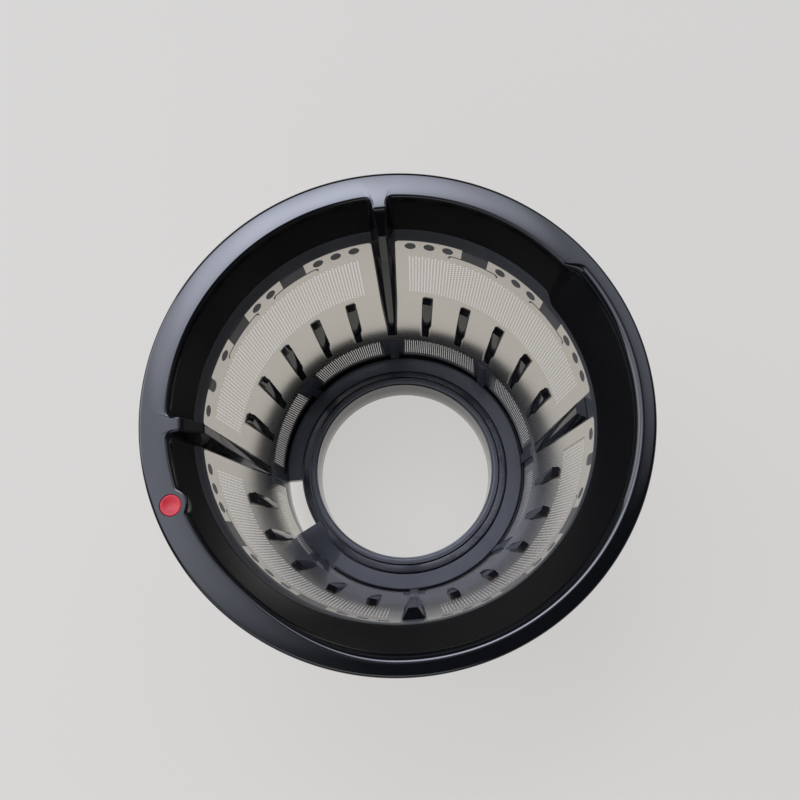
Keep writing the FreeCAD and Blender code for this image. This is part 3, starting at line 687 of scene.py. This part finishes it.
def make_ridge():
    """One wedge ridge on the +X side: steep at its top, with a step on one flank near its foot."""
    top = 46.5
    widths = [(top, 1.38, 1.42), (48.0, 1.38, 1.42), (64.6, 1.34, 1.40), (66.6, 0.78, 1.38)]
    widths.append((RIB_FOOT, 0.7, 1.2))
    sections = []
    for depth, low, high in widths:
        face = cone(depth) - 0.02 if depth == top else rib_face(depth)
        root = cone(depth) + 0.5
        outline = [(-low - 0.06, root), (-low, face), (high, face), (high + 0.06, root)]
        sections.append(bar_section(0.0, depth, outline, 0.16))
    return prism("ridge", sections, GLOSS)


def make_pip(shift):
    """Short rib on a lower pillar, shifted sideways at its top and back at its foot."""
    sections = []
    for depth, move in ((77.0, shift), (84.0, 0.0), (91.2, -shift)):
        face, root = cone(depth) - 0.45, cone(depth) + 0.6
        outline = [(move - 1.6, root), (move - 1.4, face), (move + 1.4, face), (move + 1.6, root)]
        sections.append(bar_section(0.0, depth, outline, 0.2))
    return prism("pip", sections, FLOOR)


def new_shape_tree(name, inputs):
    """Geometry Nodes tree, its inputs' identifiers by name, their sockets and its end node."""
    tree = bpy.data.node_groups.new(name, "GeometryNodeTree")
    tree.interface.new_socket("Geometry", in_out="INPUT", socket_type="NodeSocketGeometry")
    names = {}
    for kind, labels in inputs.items():
        for label in labels:
            socket = tree.interface.new_socket(label, in_out="INPUT", socket_type="NodeSocket" + kind)
            names[label] = socket.identifier
    tree.interface.new_socket("Geometry", in_out="OUTPUT", socket_type="NodeSocketGeometry")
    return tree, names, tree.nodes.new("NodeGroupInput").outputs, tree.nodes.new("NodeGroupOutput")


def make_ring_of_repeats():
    """Tree that repeats one shape round the basket's axis, leaving a place out after each group."""
    inputs = {"Int": ("Count", "In Group", "Left Out"), "Float": ("Pitch", "Start"), "Material": ("Finish",)}
    tree, names, given, result = new_shape_tree("ring_of_repeats", inputs)
    maths = partial(calculate, tree)
    index = tree.nodes.new("GeometryNodeInputIndex").outputs[0]
    group = maths("FLOOR", maths("DIVIDE", index, given["In Group"]))
    number = maths("ADD", index, maths("MULTIPLY", group, given["Left Out"]))
    angle = maths("RADIANS", maths("ADD", maths("MULTIPLY", number, given["Pitch"]), given["Start"]))
    spots = add_node(tree, "GeometryNodePoints", {"Count": given["Count"]})
    turn = add_node(tree, "ShaderNodeCombineXYZ", {"Z": angle})
    values = {"Points": spots.outputs[0], "Instance": given["Geometry"], "Rotation": turn.outputs[0]}
    copies = add_node(tree, "GeometryNodeInstanceOnPoints", values)
    real = add_node(tree, "GeometryNodeRealizeInstances", {0: copies.outputs[0]})
    values = {"Geometry": real.outputs[0], "Material": given["Finish"]}
    finish = add_node(tree, "GeometryNodeSetMaterial", values)
    set_inputs(result, {0: finish.outputs[0]})
    return tree, names


def grow(piece, tree, names, values):
    """Runs a tree on a piece with its named inputs set, and keeps the result as a plain mesh."""
    modifier = piece.modifiers.new("grow", "NODES")
    modifier.node_group = tree
    for name, value in values.items():
        modifier[names[name]] = value
    return as_plain_mesh(piece)


def make_frame_moulding():
    """The whole black moulding."""
    tree, names = make_ring_of_repeats()
    values = {"Count": 20, "In Group": 5, "Pitch": 15.0, "Start": 15.0, "Left Out": 1, "Finish": gloss_black}
    ridges = grow(make_ridge(), tree, names, values)
    values = {"Count": 4, "In Group": 4, "Pitch": 90.0, "Left Out": 0, "Finish": floor_black}
    rows = []
    for shift, start in ((0.0, 0.0), (1.05, 45.0)):
        rows.append(grow(make_pip(shift), tree, names, {**values, "Start": start}))
    ribs = [make_rib(90.0 * part) for part in range(4)]
    walls = [make_collar(), make_cage(), make_foot(), make_ramp()]
    return join("frame_moulding", [*walls, ridges, *rows, *ribs])


# Steel sheets

UPPER_FIELD = (8.5, 82.3)
UPPER_DEPTHS = (23.0, 43.5)
LOWER_DEPTHS = (76.7, 87.2)
NEAR_FIELD = (5.0, 41.3, 38.8)
FAR_FIELD = (51.4, 48.9, 85.0)
TAB_TOP = 15.5
GAPS = (30.55, 60.55, 120.55, 144.55)
HOLES = (9.5, 15.5, 21.5, 39.5, 45.5, 51.5, 69.5, 75.5, 81.5, 99.5, 105.5, 111.5, 129.5, 135.5, 153.5, 171.5)
HOLE_RADIUS, HOLE_DEPTH = 1.5, 18.0
NOTCH, NOTCH_FOOT = 163.7, 18.3
SEAM, SEAM_TOP = 0.15, 73.2
SLOT_HALF = 3.8
PILLAR_TOP, SHEET_FOOT = 76.2, 88.5
PILLAR_HALF, PILLAR_LEAN = 4.65, 1.45
# Columns, rows, stagger, and the holes' width, height and squareness in lattice units.
UPPER_MESH = (69, 18, 0.5, (0.50, 0.70, 0.5))
LOWER_MESH = (35, 9, 0.5, (0.22, 0.94, 1.0))
# One degree or one millimetre of the flat sheet, in Blender's units.
FLAT_SCALE = 0.01
# SHEET_EDGE faces, the sheet's cut edges, take the dark steel of painted shade.
SHEET_FACE, SHEET_EDGE = 0, 1
SHEET_CREASE = 25.0


def degrees_at(across, depth):
    """Sideways distance on the cone as an angle."""
    return math.degrees(across / cone(depth))


def gap_outline(centre):
    """Edge of one gap between tabs, with its relief slit, in the flat of azimuth and depth."""
    right = [(3.7, TAB_TOP), (3.7, 19.9), (6.3, 19.9), (6.9, 20.1), (7.25, 20.6), (7.3, 21.3), (6.85, 21.3),
             (6.75, 20.85), (6.5, 20.5), (6.1, 20.35)]
    shape = [(-across, depth) for across, depth in right] + right[::-1]
    return [(centre + degrees_at(across, 20.0), depth) for across, depth in shape]


def notch_outline():
    """Edge of the open notch in one tab."""
    shape = [(-HOLE_RADIUS, TAB_TOP)]
    for step in range(13):
        turn = math.pi * step / 12
        shape.append((-HOLE_RADIUS * math.cos(turn), NOTCH_FOOT + HOLE_RADIUS * math.sin(turn)))
    shape.append((HOLE_RADIUS, TAB_TOP))
    return [(NOTCH + degrees_at(across, HOLE_DEPTH), depth) for across, depth in shape]


def rib_slot_side(centre, side, downwards):
    """One edge of the slot for a rib, with the tab's corner rounded."""
    shape = [(SLOT_HALF + 1.5, TAB_TOP)]
    shape += rounded((SLOT_HALF + 1.3, TAB_TOP), (SLOT_HALF, TAB_TOP), (3.76, 16.7), 5)
    shape += [(3.2, 50.0), (2.0, RIB_FOOT)]
    edge = [(centre + side * angle, depth) for angle, depth in shape]
    return edge if downwards else edge[::-1]


def sheet_outline():
    """Edge of a half sheet, from the left seam along the tabs and back along the foot."""
    edge = [(SEAM, PILLAR_TOP), (SEAM, SEAM_TOP), *rib_slot_side(0.0, 1, False)]
    for centre in GAPS[:2]:
        edge += gap_outline(centre)
    edge += rib_slot_side(90.0, -1, True) + rib_slot_side(90.0, 1, False)
    for centre in GAPS[2:]:
        edge += gap_outline(centre)
    edge += notch_outline() + rib_slot_side(180.0, -1, True)
    edge += [(180.0 - SEAM, SEAM_TOP), (180.0 - SEAM, PILLAR_TOP)]
    for centre, lean in ((180.0, 0.0), (135.0, PILLAR_LEAN), (90.0, 0.0), (45.0, PILLAR_LEAN)):
        left, right = centre - PILLAR_HALF, centre + PILLAR_HALF
        if centre < 180.0:
            edge += [(right - lean, SHEET_FOOT), (right + lean, PILLAR_TOP)]
        edge += [(left + lean, PILLAR_TOP), (left - lean, SHEET_FOOT)]
    return edge + [(PILLAR_HALF, SHEET_FOOT), (PILLAR_HALF, PILLAR_TOP)]


def ridge_slot_outline(centre):
    """Edge of the slot for one ridge."""
    shape = [(-1.62, 46.4), (1.65, 46.4), (1.72, 51.0), (1.66, 63.0), (1.36, 73.1), (-0.9, 73.1),
             (-0.95, 67.2), (-1.6, 64.6)]
    return [(centre + degrees_at(across, depth), depth) for across, depth in shape]


def hole_outline(centre):
    """Edge of one round anchor hole."""
    turns = [2 * math.pi * step / 24 for step in range(24)]
    return [(centre + degrees_at(HOLE_RADIUS * math.cos(turn), HOLE_DEPTH),
             HOLE_DEPTH + HOLE_RADIUS * math.sin(turn)) for turn in turns]


def fields():
    """Perforated fields of a half sheet: azimuths at top and foot, depths and mesh."""
    listed = []
    for start in (0.0, 90.0):
        left, right = (start + edge for edge in UPPER_FIELD)
        listed.append(((left, right, left, right), UPPER_DEPTHS, *UPPER_MESH))
        near_left, near_top, near_foot = (start + edge for edge in NEAR_FIELD)
        listed.append(((near_left, near_top, near_left, near_foot), LOWER_DEPTHS, *LOWER_MESH))
        far_top, far_foot, far_right = (start + edge for edge in FAR_FIELD)
        listed.append(((far_top, far_right, far_foot, far_right), LOWER_DEPTHS, *LOWER_MESH))
    return listed


def make_plain_sheet():
    """Unperforated part of a half sheet: cut out flat, scored every degree, then rolled to the cone."""
    loops = [sheet_outline()] + [hole_outline(centre) for centre in HOLES]
    loops += [ridge_slot_outline(15.0 * step) for step in range(1, 12) if step != 6]
    for (top_left, top_right, foot_left, foot_right), (top, foot), *_ in fields():
        loops.append([(top_left, top), (top_right, top), (foot_right, foot), (foot_left, foot)])
    flat = bpy.data.curves.new("flat_sheet", "CURVE")
    flat.dimensions = "2D"
    flat.fill_mode = "FRONT"
    for loop in loops:
        spline = flat.splines.new("POLY")
        spline.points.add(len(loop) - 1)
        for point, (azimuth, depth) in zip(spline.points, loop):
            point.co = (azimuth * FLAT_SCALE, depth * FLAT_SCALE, 0.0, 1.0)
        spline.use_cyclic_u = True
    holder = placed("flat_sheet", flat)
    mesh = evaluated_mesh(holder)
    bpy.data.objects.remove(holder)
    shape = bmesh.new()
    shape.from_mesh(mesh)
    bpy.data.meshes.remove(mesh)
    near = 1e-7
    bmesh.ops.remove_doubles(shape, verts=shape.verts, dist=near)
    for line in range(1, 180):
        geometry = shape.verts[:] + shape.edges[:] + shape.faces[:]
        score = (line * FLAT_SCALE, 0, 0)
        bmesh.ops.bisect_plane(shape, geom=geometry, dist=near, plane_co=score, plane_no=(1, 0, 0))
    shape.verts.index_update()
    shape.verts.ensure_lookup_table()
    count = len(shape.verts)
    back = 1 / FLAT_SCALE
    spots = [(vert.co.x * back, vert.co.y * back) for vert in shape.verts]
    points = [at(cone(depth), azimuth, depth) for azimuth, depth in spots]
    points += [at(cone(depth) + STEEL, azimuth, depth) for azimuth, depth in spots]
    faces, finish = [], []
    for face in shape.faces:
        indices = [vert.index for vert in face.verts]
        faces.append(tuple(indices))
        faces.append(tuple(index + count for index in reversed(indices)))
        finish += [SHEET_FACE, SHEET_FACE]
    # Cut edges get the dark steel of painted shade.
    for edge in shape.edges:
        if len(edge.link_faces) == 1:
            first, second = (vert.index for vert in edge.verts)
            faces.append((first, second, second + count, first + count))
            finish.append(SHEET_EDGE)
    shape.free()
    sheet = make_piece("plain_sheet", points, faces, [rolled_steel, painted_shade_steel], finish)
    return settle(sheet, SHEET_CREASE)


def make_cell(hole_width, hole_height, squareness):
    """One cell in lattice units: an oval or squarer hole, its wall and both faces round it."""
    outer = [(0.0, 0.0), (1.0, 0.0), (1.0, 0.5), (1.0, 1.0), (0.0, 1.0), (0.0, 0.5)]
    inner = []
    for turn, (x, y) in zip((240, 300, 0, 60, 120, 180), outer):
        angle = math.radians(turn)
        across = mix(math.cos(angle), 2 * x - 1, squareness)
        up = mix(math.sin(angle), 2 * y - 1, squareness)
        inner.append((0.5 + hole_width / 2 * across, 0.5 + hole_height / 2 * up))
    points = [(x, y, layer) for layer in (0.0, 1.0) for x, y in outer + inner]
    faces = []
    for index in range(6):
        after = (index + 1) % 6
        faces.append((index, index + 6, after + 6, after))
        faces.append((index + 12, after + 12, after + 18, index + 18))
        faces.append((index + 6, index + 18, after + 18, after + 6))
    return points, faces


def mark_hole_walls(cell):
    """Marks the hole's wall in a lattice cell."""
    marks = cell.data.attributes.new("hole_wall", "BOOLEAN", "FACE")
    marks.data.foreach_set("value", [index % 3 == 2 for index in range(len(cell.data.polygons))])
    return cell


def make_perforated_field_tree():
    """Tree that lays staggered columns of cells between four edges and rolls them to the cone."""
    edges = ("Top Left", "Top Right", "Foot Left", "Foot Right", "Top Depth", "Foot Depth")
    inputs = {"Int": ("Columns", "Rows"), "Object": ("Blank",), "Float": (*edges, "Thickness", "Stagger"),
              "Material": ("Finish", "Wall Shade Finish")}
    tree, names, given, result = new_shape_tree("perforated_field", inputs)
    maths = partial(calculate, tree)
    index = tree.nodes.new("GeometryNodeInputIndex").outputs[0]
    columns, rows, stagger = given["Columns"], given["Rows"], given["Stagger"]
    both = tree.nodes.new("GeometryNodeJoinGeometry")

    def lay(count, across, up, source):
        place = add_node(tree, "ShaderNodeCombineXYZ", {"X": across, "Y": up})
        spots = add_node(tree, "GeometryNodePoints", {"Count": count, "Position": place.outputs[0]})
        values = {"Points": spots.outputs[0], "Instance": source}
        copies = add_node(tree, "GeometryNodeInstanceOnPoints", values)
        set_inputs(both, {0: copies.outputs[0]})

    row = maths("FLOOR", maths("DIVIDE", maths("ADD", index, 0.5), columns))
    column = maths("SUBTRACT", index, maths("MULTIPLY", row, columns))
    half = maths("MULTIPLY", maths("MODULO", column, 2.0), stagger)
    lay(maths("MULTIPLY", columns, rows), column, maths("ADD", row, half), given["Geometry"])
    blank = add_node(tree, "GeometryNodeObjectInfo", {"Object": given["Blank"]})
    even = maths("SUBTRACT", 1.0, maths("MODULO", index, 2.0))
    lay(columns, index, maths("MULTIPLY", rows, even), blank.outputs["Geometry"])
    real = add_node(tree, "GeometryNodeRealizeInstances", {0: both.outputs[0]})

    def blend(low, high, share):
        return maths("ADD", low, maths("MULTIPLY", maths("SUBTRACT", high, low), share))

    position = tree.nodes.new("GeometryNodeInputPosition").outputs[0]
    spot = add_node(tree, "ShaderNodeSeparateXYZ", {0: position}).outputs
    across = maths("DIVIDE", spot["X"], columns)
    down = maths("DIVIDE", spot["Y"], maths("ADD", rows, stagger))
    depth = blend(given["Top Depth"], given["Foot Depth"], down)
    left = blend(given["Top Left"], given["Foot Left"], down)
    right = blend(given["Top Right"], given["Foot Right"], down)
    angle = maths("RADIANS", blend(left, right, across))
    slope = (CONE_FOOT_RADIUS - CONE_TOP_RADIUS) / (CONE_FOOT - CONE_TOP)
    narrowing = maths("MULTIPLY", maths("SUBTRACT", depth, CONE_TOP), slope)
    inside = maths("ADD", narrowing, CONE_TOP_RADIUS)
    radius = maths("ADD", inside, maths("MULTIPLY", spot["Z"], given["Thickness"]))
    metres = maths("MULTIPLY", radius, MM)
    rolled = add_node(tree, "ShaderNodeCombineXYZ", {
        "X": maths("MULTIPLY", metres, maths("COSINE", angle)),
        "Y": maths("MULTIPLY", metres, maths("SINE", angle)),
        "Z": maths("MULTIPLY", maths("SUBTRACT", RIM_TOP, depth), MM),
    })
    values = {"Geometry": real.outputs[0], "Position": rolled.outputs[0]}
    move = add_node(tree, "GeometryNodeSetPosition", values)
    values = {"Geometry": move.outputs[0], "Material": given["Finish"]}
    finish = add_node(tree, "GeometryNodeSetMaterial", values)
    # Hole walls get the dark steel of painted shade.
    marks = add_node(tree, "GeometryNodeInputNamedAttribute", {"Name": "hole_wall"}, data_type="BOOLEAN")
    values = {"Geometry": finish.outputs[0], "Selection": marks.outputs["Attribute"],
              "Material": given["Wall Shade Finish"]}
    wall_finish = add_node(tree, "GeometryNodeSetMaterial", values)
    set_inputs(result, {0: wall_finish.outputs[0]})
    return tree, names


def make_sheet():
    """One whole half sheet: the plain part and its perforated fields."""
    tree, names = make_perforated_field_tree()
    pieces = [make_plain_sheet()]
    corners = ((0.0, 0.0), (1.0, 0.0), (1.0, 0.5), (0.0, 0.5))
    points = [(x, y, layer) for layer in (0.0, 1.0) for x, y in corners]
    blank = make_piece("blank_cell", points, [(0, 3, 2, 1), (4, 5, 6, 7)], [rolled_steel])
    for edges, depths, columns, rows, stagger, hole in fields():
        field = mark_hole_walls(make_piece("field", *make_cell(*hole), [rolled_steel]))
        values = {
            "Columns": columns, "Rows": rows, "Stagger": stagger, "Blank": blank, "Thickness": ETCHED,
            "Top Left": edges[0], "Top Right": edges[1], "Foot Left": edges[2], "Foot Right": edges[3],
            "Top Depth": depths[0], "Foot Depth": depths[1],
            "Finish": rolled_steel, "Wall Shade Finish": painted_shade_steel,
        }
        pieces.append(settle(grow(field, tree, names, values), SHEET_CREASE))
    bpy.data.objects.remove(blank)
    return join("screen_rear", pieces)


def turned_copy(piece, name, angle):
    """Copy of a piece turned about the axis, with its place in its mesh."""
    mesh = piece.data.copy()
    mesh.transform(Matrix.Rotation(math.radians(angle), 4, "Z"))
    mesh.name = name
    return placed(name, mesh)


def make_plug():
    """Red plug with a rounded edge and a shallow dish."""
    outline = [(PLUG_RADIUS, PLUG_DEPTH), (PLUG_RADIUS, 0.45)]
    outline += rounded((PLUG_RADIUS, 0.40), (PLUG_RADIUS, 0.08), (2.2, 0.08), 4)
    outline += [(1.9, 0.14), (1.5, 0.30), (1.0, 0.44), (0.5, 0.52)]
    count, layers = 64, len(outline) - 1
    points = [point for radius, depth in outline for point in plug_circle(radius, depth, count)]
    points.append(at(PLUG_RADIUS_AT, PLUG_AZIMUTH, 0.54))
    faces = [tuple(range(count)), *tube_faces(layers, count)]
    last, middle = layers * count, len(points) - 1
    faces += [(last + step, last + (step + 1) % count, middle) for step in range(count)]
    return settle(make_piece("index_plug_red", points, faces, [plug_red]))


moulding = make_frame_moulding()
screen_rear = make_sheet()
screen_front = turned_copy(screen_rear, "screen_front", 180.0)
plug = make_plug()
for piece, node, slot in (
    (moulding, "frame", "frame_plastic"),
    (screen_rear, "screen_sheet_rear", "sheet_steel"),
    (screen_front, "screen_sheet_front", "sheet_steel"),
    (plug, "index_plug", "plug_plastic"),
):
    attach(piece, "root")
    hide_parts(node)


# Floor, light and camera

# Places and sizes of the lights and of the floor are in metres.
BASKET = (0.0, 0.0, 0.1)
COOL_WHITE = (0.92, 0.95, 1.0)
SKY_COLOUR, SKY_BASE = (0.80, 0.84, 1.0), 0.03
# Elevation and azimuth of each glow, its inner and outer width in degrees, and its strength.
GLOWS = [
    ((60.0, 84.0), 2.0, 11.0, 7.0), ((60.0, 96.0), 2.0, 11.0, 7.0), ((61.0, 108.0), 2.0, 11.0, 7.0),
    ((62.0, 120.0), 2.0, 11.0, 4.5), ((60.0, 145.0), 6.0, 28.0, 4.8), ((70.0, 195.0), 4.0, 16.0, 0.5),
    ((56.0, 48.0), 5.0, 22.0, 3.2), ((-90.0, 0.0), 98.0, 115.0, 0.5),
]
# The camera's directions before their turn about the upright axis, and its place.
VIEW_TURN = -4.6
VIEW_RIGHT, VIEW_BACK = (0.9996, 0.0, -0.028), (0.0271, -0.2482, 0.968)
VIEW_PLACE = (2.49, -45.15, 283.4)


def make_floor():
    """Pale light table under the basket."""
    material, _, shader, _ = new_finish("pale_floor")
    set_inputs(shader, {"Base Color": (0.08, 0.077, 0.072, 1.0), "Roughness": 0.9,
                        "Emission Color": (1.0, 0.98, 0.95, 1.0), "Emission Strength": 0.54})
    size = 3.0
    below = -0.05 * MM
    corners = [(-size, -size, below), (size, -size, below), (size, size, below), (-size, size, below)]
    floor = make_piece("floor", corners, [(0, 1, 2, 3)], [material])


def add_softbox(name, place, aim, size, power):
    """Rectangular soft light that faces a point."""
    lamp = bpy.data.lights.new(name, "AREA")
    lamp.shape = "RECTANGLE"
    lamp.size, lamp.size_y = size
    lamp.energy = power
    lamp.color = COOL_WHITE
    holder = placed(name, lamp)
    holder.location = place
    holder.rotation_euler = (Vector(aim) - Vector(place)).to_track_quat("-Z", "Y").to_euler()


def sky_spot(elevation, azimuth):
    """Direction in the surroundings."""
    rise, turn = math.radians(elevation), math.radians(azimuth)
    return math.cos(rise) * math.cos(turn), math.cos(rise) * math.sin(turn), math.sin(rise)


def set_world(colour, base, glows):
    """Dim surroundings with large soft glows."""
    world = bpy.data.worlds.new("studio")
    world.use_nodes = True
    tree = world.node_tree
    direction = tree.nodes.new("ShaderNodeTexCoord").outputs["Generated"]
    total = base
    for place, inner, outer, strength in glows:
        values = {0: direction, 1: sky_spot(*place)}
        nearness = add_node(tree, "ShaderNodeVectorMath", values, operation="DOT_PRODUCT")
        values = {"Value": nearness.outputs["Value"], "From Min": math.cos(math.radians(outer)),
                  "From Max": math.cos(math.radians(inner)), "To Min": 0.0, "To Max": strength}
        glow = add_node(tree, "ShaderNodeMapRange", values, clamp=True, interpolation_type="SMOOTHSTEP")
        total = calculate(tree, "ADD", glow.outputs["Result"], total)
    set_inputs(tree.nodes["Background"], {"Color": (*colour, 1.0), "Strength": total})
    bpy.context.scene.world = world


def add_camera():
    """Camera at the photograph's place, looking down into the basket."""
    lens = bpy.data.cameras.new("camera")
    lens.sensor_width = 36.0
    lens.lens = 36.0
    lens.clip_start = 0.005
    turn = Matrix.Rotation(math.radians(VIEW_TURN), 3, "Z")
    right = turn @ Vector(VIEW_RIGHT)
    back = turn @ Vector(VIEW_BACK)
    up = back.cross(right)
    pose = Matrix((right, up, back)).transposed().to_4x4()
    pose.translation = Vector(VIEW_PLACE) * MM
    camera = placed("camera", lens)
    camera.matrix_world = pose
    bpy.context.scene.camera = camera


make_floor()
set_world(SKY_COLOUR, SKY_BASE, GLOWS)
add_softbox("near_softbox", (-0.25, -0.46, 0.62), BASKET, (0.9, 0.36), 2.4)
add_softbox("window_softbox", (-0.66, 0.30, 0.58), BASKET, (0.5, 0.4), 3.6)
bpy.context.scene.view_settings.view_transform = "Standard"
add_camera()
